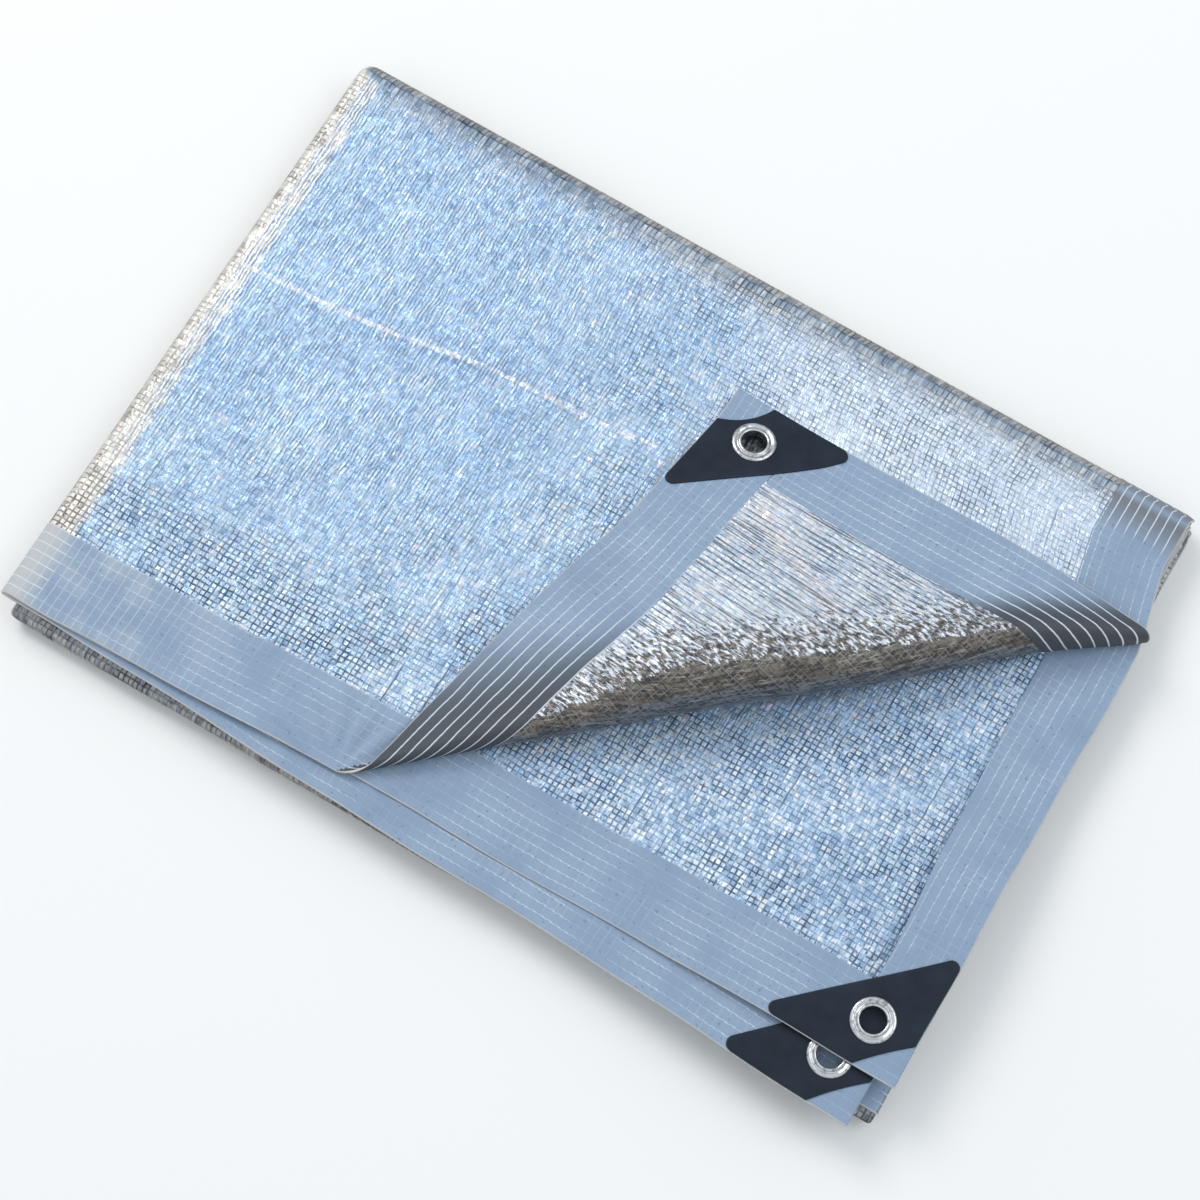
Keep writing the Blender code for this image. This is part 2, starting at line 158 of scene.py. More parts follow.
def alongRoll(s, column):
    # cubic through the rows of the roll, with their slopes
    rows = roll["rows"]
    knots = np.array([row[0] for row in rows]) * mm
    values = np.array([row[column] for row in rows]) * mm
    slopes = np.array([row[column + 1] for row in rows])
    s = np.clip(s, knots[0], knots[-1])
    k = np.clip(np.searchsorted(knots, s, side="right") - 1, 0, len(knots) - 2)
    gap = knots[k + 1] - knots[k]
    t = (s - knots[k]) / gap
    ends = values[k] + (values[k + 1] - values[k]) * ease(t)
    return ends + (t**3 - 2 * t**2 + t) * gap * slopes[k] + (t**3 - t**2) * gap * slopes[k + 1]


def crestPlace(x, y):
    # distance along the crest and across it, outwards
    dx = x - crestStart.x
    dy = y - crestStart.y
    return dx * crestAlong.x + dy * crestAlong.y, dx * crestOut.x + dy * crestOut.y


def rollTurn(x, y):
    # how far the cloth has turned at a flat place, and how much lies straight after the roll
    s, e = crestPlace(x, y)
    radius = alongRoll(s, 1)
    rolled = e - alongRoll(s, 3) + radius
    turn = np.clip(rolled / radius, 0, roll["turn"])
    return s, radius, rolled, turn, np.maximum(rolled - radius * roll["turn"], 0)


def turnBack(x, y, z, top):
    # the corner of the top layer goes round the roll and lies back over the layer
    s, radius, rolled, turn, straight = rollTurn(x, y)
    bow = alongRoll(s, 3)
    s = s + roll["drift"] * mm * ease(turn / roll["turn"]) - roll["twist"] * straight
    across = bow + radius * (np.sin(turn) - 1) + straight * math.cos(roll["turn"])
    rise = radius * (1 - np.cos(turn)) + straight * math.sin(roll["turn"])
    lifted = top & (rolled > 0)
    x = np.where(lifted, crestStart.x + s * crestAlong.x + across * crestOut.x, x)
    y = np.where(lifted, crestStart.y + s * crestAlong.y + across * crestOut.y, y)
    return x, y, np.where(lifted, z + rise, z)


def edgeShift(layer, place, places, column):
    # shift at a place along an edge, straight between the rows of layerShifts
    numbers = [row[0] for row in layerShifts]
    total = np.zeros_like(layer)
    for k, row in enumerate(layerShifts):
        share = np.zeros(len(numbers))
        share[k] = 1
        there = np.interp(place, np.array(places) * mm, np.array(row[column]) * mm)
        total += np.interp(layer, numbers, share) * there
    return total


def creaseOffset(x, y):
    # how far a place lies behind the wandering old fold line, in mm, and how far along it is
    a, b = x / mm, y / mm
    (x0, y0), (x1, y1) = unevenness["creaseFrom"], unevenness["creaseTo"]
    return b - (y0 + (y1 - y0) * (a - x0) / (x1 - x0) + 1.6 * np.sin(a / 23)), a - x0, x1 - a


def unevenRise(x, y):
    # swell + ripple + a soft ridge along the old fold line + the fan of wrinkles, in metres
    a, b = x / mm, y / mm
    swell = np.sin(a / 71 + 0.8 * np.sin(b / 67)) * np.cos(b / 58 - a / 160 + 0.6)
    ripple = np.sin(a / 12.5 + 1.7 * np.sin(b / 29)) * np.sin(b / 15 + 1.3 * np.sin(a / 41))
    offset, fromStart, toEnd = creaseOffset(x, y)
    ridge = np.exp(-((offset / 2.6) ** 2)) * ease(toEnd / 60) * ease((fromStart + 4) / 20)
    fanX, fanY = a - unevenness["fanCentre"][0], b - unevenness["fanCentre"][1]
    ring = np.exp(-(((np.hypot(fanX, fanY) - 36) / 20) ** 2))
    fan = np.sin(17 * np.arctan2(fanY, fanX)) * ring
    rise = unevenness["swell"] * swell + unevenness["ripple"] * ripple
    return (rise + unevenness["crease"] * ridge + unevenness["fan"] * fan) * mm


def settle(x, y, z):
    # open edges shift, the lower left folds draw in, the thick corner rises, the cloth waves
    layer = np.clip(1 + (height - fold["cloth"] * mm / 2 - z) / pitch, 1, fold["layers"])
    toFront = np.clip((yLast - y) / (yLast - frontEdge), 0, 1)
    toRight = np.clip((x - xLast) / (rightEdge - xLast), 0, 1)
    dx = edgeShift(layer, y, shiftY, 2) * toRight
    dy = edgeShift(layer, x, shiftX, 1) * toFront
    dx = dx + fold["lowerLeft"] * mm * ease((layer - 4) / 10) * (1 - toRight)
    wander = unevenness["edge"] * mm
    dx = dx + wander * toRight**3 * np.sin(y / (19 * mm) + 2.1 * layer) * np.sin(y / (47 * mm))
    dy = dy + wander * toFront**3 * np.sin(x / (23 * mm) + 1.7 * layer) * np.sin(x / (61 * mm) + 1)
    flat, end = fold["riseFlat"] * mm, fold["riseEnd"] * mm
    near = ease((x - rightEdge + end) / (end - flat))
    near = near * ease((frontEdge + end - y) / (end - flat))
    numbers, rises = zip(*cornerRise)
    lift = near * np.interp(layer, numbers, rises) * mm
    inside = ease(toRight * 5) * ease(toFront * 5) * ease((2.2 - layer) / 1.2)
    swell = 1 + np.sin(x / (70 * mm) + 1.3) * np.cos(y / (60 * mm) - x / (150 * mm))
    lift = lift + fold["wave"] * mm * inside * swell * (1 - ease((z - height) / (2 * mm)))
    upper = (fold["layers"] - layer) / (fold["layers"] - 1)
    lift = lift + unevenRise(x, y) * upper * ease(toRight * 8) * ease(toFront * 8 + 0.3)
    return x + dx, y + dy, z + lift


def middle(u, v):
    # flat cloth at (u from the right edge, v from the front edge) to its folded place
    x = rightEdge - u
    y = frontEdge + v
    z = np.full_like(x, fold["cloth"] * mm / 2)
    top = (x > xLast) & (y < yLast)
    x, y, z = turnBack(x, y, z, top)
    x, z = bendUnder(x, z, xFirst, -1, 1)
    y, z = bendUnder(y, z, yFirst, 1, 2)
    x, z = bendUnder(x, z, xLast, -1, 4)
    y, z = bendUnder(y, z, yLast, 1, 8)
    return np.stack(settle(x, y, z), axis=-1)


def clothSurface(u, v):
    # middle surface and its unit normal, from differences along u and v
    step = 0.02 * mm
    across = middle(u - step, v) - middle(u + step, v)
    up = middle(u, v + step) - middle(u, v - step)
    normal = np.cross(across, up)
    return middle(u, v), normal / np.linalg.norm(normal, axis=-1)[..., None]


# wear of the cloth and painted light: painted shade at the folds and after the roll, a painted cream
# highlight on the left, a worn streak, a painted shadow under an eyelet
wearAndPaintedLight = {
    # net first, then tape, where there are two
    "backFold": (17, 24),  # mm before the back fold where painted shade turns the cloth brown
    "afterRoll": (0.33, 0.74),  # how dark the painted shade on the flat part starts after the roll
    "reach": 18,  # and how far that goes, in mm
    "reachStart": 34,  # more of it on the tape at the start of the crest
    "leftEdge": 16 * mm,  # width of the painted cream highlight along the left fold
    "streakWidth": 5,  # in mm
    # reach of the painted shadow under the eyelet of the turned-back corner
    "shadeReach": 12 * mm,
    "shadeShift": (-1.2 * mm, 2.0 * mm),  # painted shadow: from under the eyelet to where the hole shows it
}


def belowTop(u, v):
    # 0 on the two upper layers and their folds, 1 from 10 mm past them
    reachU, reachV = rightEdge - xLast + 14 * mm, yLast - frontEdge + 20 * mm
    beyond = np.maximum(np.minimum(u - reachU, netLong - reachU - u), v - reachV)
    return ease(beyond / (10 * mm))


def wornStreak(u, v):
    # 1 on the segment between the two ends, falling off as exp(-(distance / width)^2)
    (u0, v0), (u1, v1) = unevenness["wornFrom"], unevenness["wornTo"]
    a, b = u / mm - u0, v / mm - v0
    share = np.clip((a * (u1 - u0) + b * (v1 - v0)) / ((u1 - u0) ** 2 + (v1 - v0) ** 2), 0, 1)
    away = np.hypot(a - share * (u1 - u0), b - share * (v1 - v0))
    return np.exp(-((away / wearAndPaintedLight["streakWidth"]) ** 2))


def eyeShade(x, y):
    # painted shadow: 1 on the cloth seen through the eyelet of the turned-back corner, 0 past its reach
    eye = middle(np.array([eyeInset]), np.array([eyeInset]))[0]
    away = np.hypot(x - eye[0] - wearAndPaintedLight["shadeShift"][0], y - eye[1] - wearAndPaintedLight["shadeShift"][1])
    return ease((wearAndPaintedLight["shadeReach"] - away) / (4 * mm))


def clothLooks(u, v, normal, tapeCloth):
    # curl: painted shade on the turned-back corner before it lies flat, carried a little way onto
    # the flat part after it; low: where that painted shade turns slate on the underside of its
    # roll; rim: painted shade on cloth that is bent or leans at the folds and sides of the bundle;
    # cream: painted highlight on bent cloth facing left and along the left fold; lines: fine lines
    # against a square grid; deep: grooves of the turned-back part; crease: mm from the old fold
    # line; old: worn front left end; pale: brighter back right; streak: worn streak of the
    # turned-back part; shade: painted shadow on the cloth under the eyelet of the turned-back corner
    x = rightEdge - u
    y = frontEdge + v
    top = (x > xLast) & (y < yLast)
    s, _, _, turn, straight = rollTurn(x, y)
    turn = np.where(top, turn, 0)
    left = np.degrees(roll["turn"] - turn)
    # painted shade carried past the roll onto the flat part, wider on the tape at the start of the crest
    more = wearAndPaintedLight["reachStart"] * ease((200 * mm - s) / (150 * mm)) * tapeCloth
    onto = wearAndPaintedLight["afterRoll"][tapeCloth] * np.exp(-((straight / (wearAndPaintedLight["reach"] + more) / mm) ** 2))
    curl = np.where(turn > 0, np.maximum(ease((left - 2) / 38), onto), 0)
    low = np.where(turn > 0, ease((left - 48) / 24), 0)
    # painted shade where the cloth leans away from flat, before the back fold and on the lower layers
    lean = np.degrees(np.arccos(np.clip(np.abs(normal[..., 2]), 0, 1)))
    rim = np.where(turn > 0, 0, ease((lean - 4) / 42))
    back = (y - yLast) / mm + wearAndPaintedLight["backFold"][tapeCloth]
    rim = np.maximum(rim, np.where(top & (turn == 0), ease(back / 25), 0))
    if not tapeCloth:
        rim = np.maximum(rim, 0.85 * belowTop(u, v))
    # painted highlight on bent cloth facing left and along the left fold
    cream = rim * ease((-normal[..., 0] - 0.05) / 0.15)
    leftEdge = ease(1.1 - np.abs(x - xLast) / wearAndPaintedLight["leftEdge"])
    cream = np.maximum(cream, np.where(y < yLast, leftEdge, 0))
    lines = ease((0.06 - x) / 0.20) * ease((y + 0.13) / 0.13)
    lines = np.where(top & (turn == 0), np.maximum(lines, 0.35 * ease((y + 0.01) / 0.07)), 0.1)
    deep = np.where(top, ease((turn - 1.2) / 1.4), 0)
    offset, fromStart, toEnd = creaseOffset(x, y)
    crease = np.where(top & (turn == 0) & (fromStart > 0) & (toEnd > 0), offset, 99)
    old = np.where(top, ease((-0.12 - x) / 0.10), 0)
    looks = {"curl": curl, "low": low, "rim": np.maximum(rim - cream, 0), "cream": cream}
    pale = np.where(top & (turn == 0), ease((x + 0.02) / 0.08) * ease((y + 0.02) / 0.08), 0)
    looks.update({"lines": lines, "deep": deep, "crease": crease, "old": old})
    looks["pale"] = pale * (1 - rim)
    looks["streak"] = np.where(top & (turn > 0), wornStreak(u, v), 0)
    looks["shade"] = np.where(top & (turn == 0), eyeShade(x, y), 0)
    return looks


# Meshes

def finishMesh(name, points, faces, flat, looks):
    # closed mesh with its flat cut as the UV map and its looks as point attributes
    mesh = bpy.data.meshes.new(name)
    mesh.from_pydata(points.tolist(), [], faces)
    shell = bmesh.new()
    shell.from_mesh(mesh)
    bmesh.ops.recalc_face_normals(shell, faces=shell.faces[:])
    if shell.calc_volume(signed=True) < 0:
        bmesh.ops.reverse_faces(shell, faces=shell.faces[:])
    shell.to_mesh(mesh)
    shell.free()
    corner = np.zeros(len(mesh.loops), np.int32)
    mesh.loops.foreach_get("vertex_index", corner)
    uvMap = mesh.uv_layers.new(name="flat")
    uvMap.data.foreach_set("uv", flat[corner].astype(np.float32).ravel())
    for label, values in looks.items():
        attribute = mesh.attributes.new(label, "FLOAT", "POINT")
        attribute.data.foreach_set("value", values.astype(np.float32).ravel())
    mesh.shade_smooth()
    piece = bpy.data.objects.new(name, mesh)
    bpy.context.scene.collection.objects.link(piece)
    return piece


def wallEdges(keep):
    # pairs of grid corners round the kept cells
    padded = np.pad(keep, 1)
    sides = (
        ((0, -1), (0, 0), (1, 0)),
        ((0, 1), (0, 1), (1, 1)),
        ((-1, 0), (0, 0), (0, 1)),
        ((1, 0), (1, 0), (1, 1)),
    )
    first, second = [], []
    for (dj, di), start, end in sides:
        near = padded[1 + dj:padded.shape[0] - 1 + dj, 1 + di:padded.shape[1] - 1 + di]
        j, i = np.nonzero(keep & ~near)
        first.append(np.stack((j + start[0], i + start[1]), 1))
        second.append(np.stack((j + end[0], i + end[1]), 1))
    return np.vstack(first), np.vstack(second)


def sheetPiece(name, columns, rows, half, roundOff, holes=(), taper=None, swap=False, tapeCloth=True):
    # grid over the flat cut, offset both ways along the normal; it thins to the border by a circle
    u, v = np.meshgrid(np.array(columns), np.array(rows))
    border = np.minimum(np.minimum(u - u.min(), u.max() - u), np.minimum(v - v.min(), v.max() - v))
    share = np.clip(border / roundOff, 0, 1)
    thick = half * (0.3 + 0.7 * np.sqrt(share * (2 - share)))
    if taper:
        u = taper(u, v)
    keep = np.ones((len(rows) - 1, len(columns) - 1), bool)
    for holeU, holeV, radius in holes:
        centreU = (u[1:, 1:] + u[:-1, :-1]) / 2
        centreV = (v[1:, 1:] + v[:-1, :-1]) / 2
        keep &= np.hypot(centreU - holeU, centreV - holeV) > radius
    place, normal = clothSurface(u, v)
    looks = clothLooks(u, v, normal, tapeCloth)
    offset = normal * thick[..., None]
    points = np.vstack(((place + offset).reshape(-1, 3), (place - offset).reshape(-1, 3)))
    wide = len(columns)
    count = u.size
    j, i = np.nonzero(keep)
    a = j * wide + i
    upper = np.stack((a, a + 1, a + 1 + wide, a + wide), 1)
    first, second = wallEdges(keep)
    p = first[:, 0] * wide + first[:, 1]
    q = second[:, 0] * wide + second[:, 1]
    walls = np.stack((p, q, q + count, p + count), 1)
    faces = np.vstack((upper, upper[:, ::-1] + count, walls))
    used = np.unique(faces)
    renumber = np.full(2 * count, -1)
    renumber[used] = np.arange(len(used))
    flat = np.stack((v, u) if swap else (u, v), -1).reshape(-1, 2)
    flat = np.vstack((flat, flat))[used]
    looks = {k: np.tile(w.ravel(), 2)[used] for k, w in looks.items()}
    return finishMesh(name, points[used], renumber[faces].tolist(), flat, looks)


def steps(low, high, size):
    # even steps of about that size, without the last end
    count = max(1, round((high - low) / size))
    return [low + (high - low) * k / count for k in range(count)]


def panelLines(whole, foldFirst, foldLast, counts, sizes):
    # steps over four panels and the three bends between them
    bendFirst = math.pi * neutralRadius(counts[0])
    bendLast = math.pi * neutralRadius(counts[1])
    far = whole - foldLast
    marks = (0, foldLast, foldLast + bendLast, foldFirst, foldFirst + bendFirst, far - bendLast, far)
    lines = []
    for low, high, size in zip(marks, marks[1:] + (whole,), sizes):
        lines += steps(low, high, size * mm)
    return lines + [whole]


def between(lines, low, high, rim=()):
    # the lines inside a piece, with its two ends and a few close to them
    lines = [low + r * mm for r in rim] + [high - r * mm for r in rim] + list(lines)
    inside = sorted(p for p in lines if low + 0.1 * mm < p < high - 0.1 * mm)
    kept = [low]
    for p in inside:
        if p - kept[-1] > 0.12 * mm:
            kept.append(p)
    return kept + [high]


def dress(piece, node, material):
    # finish, body, replaced node and slot of a piece
    piece.data.materials.append(material)
    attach(piece, "root")
    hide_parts(node)
    return piece


# Node helpers

def newMaterial(name):
    # a material with its node tree and its shader
    material = bpy.data.materials.new(name)
    material.use_nodes = True
    tree = material.node_tree
    return material, tree, tree.nodes["Principled BSDF"]


def feed(tree, node, inputs):
    # each input gets a link from another node or a plain value
    for key, value in inputs.items():
        if isinstance(value, bpy.types.NodeSocket):
            tree.links.new(value, node.inputs[key])
        else:
            node.inputs[key].default_value = value


def addNode(tree, kind, inputs=None, **settings):
    # a node with its settings and inputs
    node = tree.nodes.new(kind)
    for key, value in settings.items():
        setattr(node, key, value)
    feed(tree, node, inputs or {})
    return node


def calc(tree, operation, a, b=0.0, clamp=False):
    # one operation on a and b
    node = addNode(tree, "ShaderNodeMath", {0: a, 1: b}, operation=operation, use_clamp=clamp)
    return node.outputs[0]


def remap(tree, value, low, high, toLow=0.0, toHigh=1.0):
    # low to high becomes toLow to toHigh along 3t^2 - 2t^3, held at the ends
    inputs = {"Value": value, "From Min": low, "From Max": high, "To Min": toLow, "To Max": toHigh}
    return addNode(tree, "ShaderNodeMapRange", inputs, interpolation_type="SMOOTHSTEP").outputs[0]


def blend(tree, share, a, b):
    # a + share * (b - a), colour by colour
    return addNode(tree, "ShaderNodeMix", {0: share, 6: a, 7: b}, data_type="RGBA").outputs[2]


def colourRamp(tree, value, stops):
    # straight between the colours of the stops
    node = addNode(tree, "ShaderNodeValToRGB", {0: value})
    ramp = node.color_ramp
    ramp.elements[0].position, ramp.elements[0].color = stops[0][0], (*stops[0][1], 1)
    ramp.elements[1].position, ramp.elements[1].color = stops[-1][0], (*stops[-1][1], 1)
    for place, colour in stops[1:-1]:
        ramp.elements.new(place).color = (*colour, 1)
    return node.outputs[0]


def readAttribute(tree, label):
    # a looks value of the mesh
    return addNode(tree, "ShaderNodeAttribute", attribute_name=label).outputs["Fac"]


def noise(tree, vector, scale, detail=2.0, rough=0.5, stretch=(1, 1, 1)):
    # soft noise at place * stretch * scale
    if stretch != (1, 1, 1):
        mapping = addNode(tree, "ShaderNodeMapping", {"Vector": vector, "Scale": stretch})
        vector = mapping.outputs[0]
    inputs = {"Vector": vector, "Scale": scale, "Detail": detail, "Roughness": rough}
    return addNode(tree, "ShaderNodeTexNoise", inputs).outputs[0]


def lineMask(tree, cells, width, soft):
    # 1 on the line between two cells, width as a share of a cell
    away = calc(tree, "ABSOLUTE", calc(tree, "SUBTRACT", calc(tree, "FRACT", cells), 0.5))
    return remap(tree, away, 0.5 - width - soft, 0.5 - width)


def product(tree, *values):
    # all of the values multiplied
    whole = values[0]
    for value in values[1:]:
        whole = calc(tree, "MULTIPLY", whole, value)
    return whole


def largest(tree, *values):
    # the largest of the values
    whole = values[0]
    for value in values[1:]:
        whole = calc(tree, "MAXIMUM", whole, value)
    return whole


def summed(tree, *values):
    # all of the values added
    whole = values[0]
    for value in values[1:]:
        whole = calc(tree, "ADD", whole, value)
    return whole


def minus(tree, value):
    # 1 - value
    return calc(tree, "SUBTRACT", 1.0, value)


def spread(tree, value, amount):
    # (value - 0.5) * amount
    return calc(tree, "MULTIPLY", calc(tree, "SUBTRACT", value, 0.5), amount)


def endMaterial(tree, shader, colour, relief, strength, distance, inputs):
    # colour, a bump from the relief and the other inputs go into the shader
    bump = addNode(tree, "ShaderNodeBump", {"Height": relief, "Strength": strength, "Distance": distance})
    feed(tree, shader, {"Base Color": colour, "Normal": bump.outputs[0], **inputs})


# The net

knit = {
    "pitch": 3.05 * mm,  # one knitted cell
    "fine": 1.95 * mm,  # between the fine lines of the smooth part
    "wobble": 0.42,  # how far the rows wander, in cells
    "relief": 0.8 * mm,
    "dark": (0.22, 0.35, 0.55),
    "blue": (0.34, 0.48, 0.67),
    "pale": (0.52, 0.65, 0.79),
    "bright": (0.90, 0.91, 0.92),
    "lineColour": (0.16, 0.28, 0.47, 1),
    "gapColour": (0.030, 0.058, 0.105, 1),
    "silver": (0.86, 0.87, 0.90, 1),
    # brown and slate: painted shade on the roll; rimDark and rimPale: painted shade at the folds; creamDark
    # and creamPale: painted highlight on the left folds
    "brown": (0.175, 0.145, 0.115, 1),
    "slate": (0.185, 0.200, 0.225, 1),
    "rimDark": (0.12, 0.105, 0.09),
    "rimPale": (0.50, 0.47, 0.43),
    "creamDark": (0.50, 0.43, 0.35),
    "creamPale": (0.84, 0.79, 0.71),
    "glint": (0.88, 0.90, 0.96, 1),
    "fleck": (0.86, 0.78, 0.77, 1),
    # gapBrown and gapCream: painted shade and painted highlight in the gaps at the folds; rollDark,
    # rollShine and rollThread: painted shade, painted shine and threads on the roll
    "gapBrown": (0.030, 0.027, 0.024, 1),
    "gapCream": (0.17, 0.12, 0.085, 1),
    "rollDark": (0.022, 0.020, 0.018, 1),
    "rollShine": (0.42, 0.39, 0.37, 1),
    "rollThread": (0.36, 0.34, 0.32, 1),
    # repeats per metre along u and v
    "streaks": (700, 60, 1),
    "dashes": (560, 150, 1),
    "flecks": (420, 170, 1),
    "patches": (120, 30, 1),
    "fineLines": (260, 70, 1),
    "grooves": (620, 14, 1),
    "scraps": (640, 210, 1),
    # and along and across the crest of the roll
    "stripes": (55, 430, 1),
    "shine": (90, 520, 1),
    "step": 3.4,  # grid step on the flat parts, in mm
    "half": 0.45 * mm,  # half of its thickness
    "roundOff": 0.4 * mm,
    "seam": 3 * mm,  # the net reaches this far into the folded tape
}


def netMaterial():
    # cells of the knitted strips: floor and fraction of u and v over the pitch
    material, tree, shader = newMaterial("aluminisedKnit")
    flat = addNode(tree, "ShaderNodeUVMap", uv_map="flat").outputs[0]
    axes = addNode(tree, "ShaderNodeSeparateXYZ", {0: flat})
    curl, low, rim, cream = (readAttribute(tree, k) for k in ("curl", "low", "rim", "cream"))
    lines, deep, crease = (readAttribute(tree, k) for k in ("lines", "deep", "crease"))
    cells = []
    for axis, seed in ((0, 0.0), (1, 5.0)):
        shifted = addNode(tree, "ShaderNodeMapping", {"Vector": flat, "Location": (seed, seed, seed)})
        wander = spread(tree, noise(tree, shifted.outputs[0], 80, 4.0, 0.62), 2 * knit["wobble"])
        cells.append(summed(tree, calc(tree, "DIVIDE", axes.outputs[axis], knit["pitch"]), wander))
    whole = [calc(tree, "FLOOR", c) for c in cells]
    cell = addNode(tree, "ShaderNodeCombineXYZ", {0: whole[0], 1: whole[1]}).outputs[0]
    luck = addNode(tree, "ShaderNodeTexWhiteNoise", {"Vector": cell}, noise_dimensions="2D")
    chance = addNode(tree, "ShaderNodeSeparateColor", {0: luck.outputs["Color"]})
    # brightness: chance of the cell, streaks along the strips, clouds, short flecks; the top of
    # the ramp is painted glints on the metallised strips
    streak = noise(tree, flat, 1.0, 3.0, 0.6, knit["streaks"])
    dashes = noise(tree, flat, 1.0, 3.0, 0.6, knit["dashes"])
    cloud = noise(tree, flat, 16, 4.0, 0.6)
    tone = summed(tree, spread(tree, luck.outputs["Value"], 0.42), spread(tree, streak, 1.0))
    dashShare = minus(tree, product(tree, lines, 0.3))
    tone = summed(tree, tone, product(tree, spread(tree, dashes, 1.5), dashShare))
    tone = summed(tree, tone, spread(tree, cloud, 0.6))
    tone = calc(tree, "ADD", tone, 0.50, clamp=True)
    stops = ((0.0, knit["dark"]), (0.38, knit["blue"]), (0.66, knit["pale"]), (1.0, knit["bright"]))
    colour = colourRamp(tree, tone, stops)
    silvery = product(tree, deep, remap(tree, tone, 0.2, 0.8, 0.35, 0.85))
    colour = blend(tree, silvery, colour, knit["silver"])
    fleckMask = remap(tree, noise(tree, flat, 1.0, 2.0, 0.5, knit["flecks"]), 0.57, 0.68, 0.0, 0.6)
    patchy = noise(tree, flat, 1.0, 3.0, 0.5, knit["patches"])
    patchy = remap(tree, patchy, 0.46, 0.64, 0.2, 1.5)
    fleckShare = product(tree, fleckMask, patchy)
    streakShare = product(tree, readAttribute(tree, "streak"), remap(tree, dashes, 0.40, 0.56, 0.1, 0.9))
    colour = blend(tree, largest(tree, fleckShare, streakShare), colour, knit["fleck"])
    # painted shade: the long folds are brownish; painted highlight: the left ones cream;
    # their gaps stay dark or brown
    rimTone = colourRamp(tree, tone, ((0.2, knit["rimDark"]), (0.75, knit["rimPale"])))
    colour = blend(tree, product(tree, rim, 0.92), colour, rimTone)
    creamTone = colourRamp(tree, tone, ((0.2, knit["creamDark"]), (0.55, knit["creamPale"])))
    ragged = remap(tree, summed(tree, cream, spread(tree, dashes, 1.2)), 0.25, 0.6)
    colour = blend(tree, product(tree, ragged, remap(tree, cream, 0.0, 0.1), 0.85), colour, creamTone)
    # gaps: between strips (constant u), across them (constant v), now and then a deeper one
    square = minus(tree, lines)
    fineWander = spread(tree, noise(tree, flat, 110, 4.0, 0.65), 1.9)
    fineCells = summed(tree, calc(tree, "DIVIDE", axes.outputs[0], knit["fine"]), fineWander)
    fineFade = remap(tree, noise(tree, flat, 1.0, 3.0, 0.6, knit["fineLines"]), 0.32, 0.56, 0.25, 1.0)
    fineLine = product(tree, lineMask(tree, fineCells, 0.10, 0.22), lines, fineFade)
    colour = blend(tree, fineLine, colour, knit["lineColour"])
    along = lineMask(tree, cells[0], 0.06, 0.13)
    wide = product(tree, lineMask(tree, calc(tree, "DIVIDE", cells[0], 7.0), 0.012, 0.014), square,
                   remap(tree, noise(tree, flat, 28, 2.0), 0.45, 0.55, 0.0, 0.75))
    acrossShare = summed(tree, product(tree, square, 0.6), 0.4)
    across = product(tree, lineMask(tree, cells[1], 0.05, 0.14), acrossShare,
                     minus(tree, product(tree, deep, 0.6)))
    fade = remap(tree, noise(tree, flat, 170, 3.0, 0.6), 0.34, 0.60, 0.25, 1.0)
    zone = remap(tree, noise(tree, flat, 24, 3.0, 0.6), 0.36, 0.62, 0.42, 1.0)
    strength = product(tree, fade, zone, summed(tree, product(tree, square, 0.65), 0.35))
    pale = readAttribute(tree, "pale")
    colour = blend(tree, product(tree, pale, 0.38), colour, knit["glint"])
    groove = remap(tree, noise(tree, flat, 1.0, 2.0, 0.55, knit["grooves"]), 0.43, 0.37)
    gapShare = product(tree, largest(tree, along, across), strength)
    gapShare = largest(tree, gapShare, wide, product(tree, groove, deep, 0.75))
    # the painted shade and painted highlight of the folds reach the gaps too
    gapColour = blend(tree, rim, knit["gapColour"], knit["gapBrown"])
    gapColour = blend(tree, cream, gapColour, knit["gapCream"])
    colour = blend(tree, gapShare, colour, gapColour)
    near = remap(tree, calc(tree, "ABSOLUTE", crease), 1.9, 0.5)
    worn = remap(tree, dashes, 0.42, 0.60, 0.08, 0.75)
    colour = blend(tree, product(tree, near, worn), colour, knit["fleck"])
    # the roll: painted highlights as bright scraps on painted shade in dark brown where it turns
    # away, then painted shade in brown and slate, with dark stripes, painted shine and faint threads
    threads = largest(tree, lineMask(tree, cells[1], 0.05, 0.10), lineMask(tree, cells[0], 0.05, 0.10))
    scraps = noise(tree, flat, 1.0, 3.0, 0.6, knit["scraps"])
    scrapShare = minus(tree, product(tree, curl, 0.8))
    dull = summed(tree, curl, product(tree, spread(tree, scraps, 2.4), scrapShare))
    dull = remap(tree, dull, 0.24, 0.36)
    dull = product(tree, dull, remap(tree, curl, 0.02, 0.16))
    mixed = summed(tree, low, spread(tree, noise(tree, flat, 90, 3.0, 0.6), 1.2))
    dark = blend(tree, remap(tree, mixed, 0.3, 0.7), knit["brown"], knit["slate"])
    turned = addNode(tree, "ShaderNodeMapping", {"Vector": flat, "Rotation": (0, 0, -crestAngle)}).outputs[0]
    stripes = noise(tree, turned, 1.0, 4.0, 0.65, knit["stripes"])
    stripes = largest(tree, remap(tree, stripes, 0.54, 0.44), remap(tree, dashes, 0.50, 0.38))
    shine = remap(tree, noise(tree, turned, 1.0, 3.0, 0.6, knit["shine"]), 0.57, 0.66, 0.0, 0.75)
    faint = product(tree, threads, remap(tree, noise(tree, flat, 140, 3.0), 0.40, 0.60, 0.1, 0.6))
    layers = (product(tree, stripes, 0.85), "rollDark"), (shine, "rollShine"), (faint, "rollThread")
    for share, label in layers:
        dark = blend(tree, share, dark, knit[label])
    colour = blend(tree, product(tree, dull, 0.96), colour, dark)
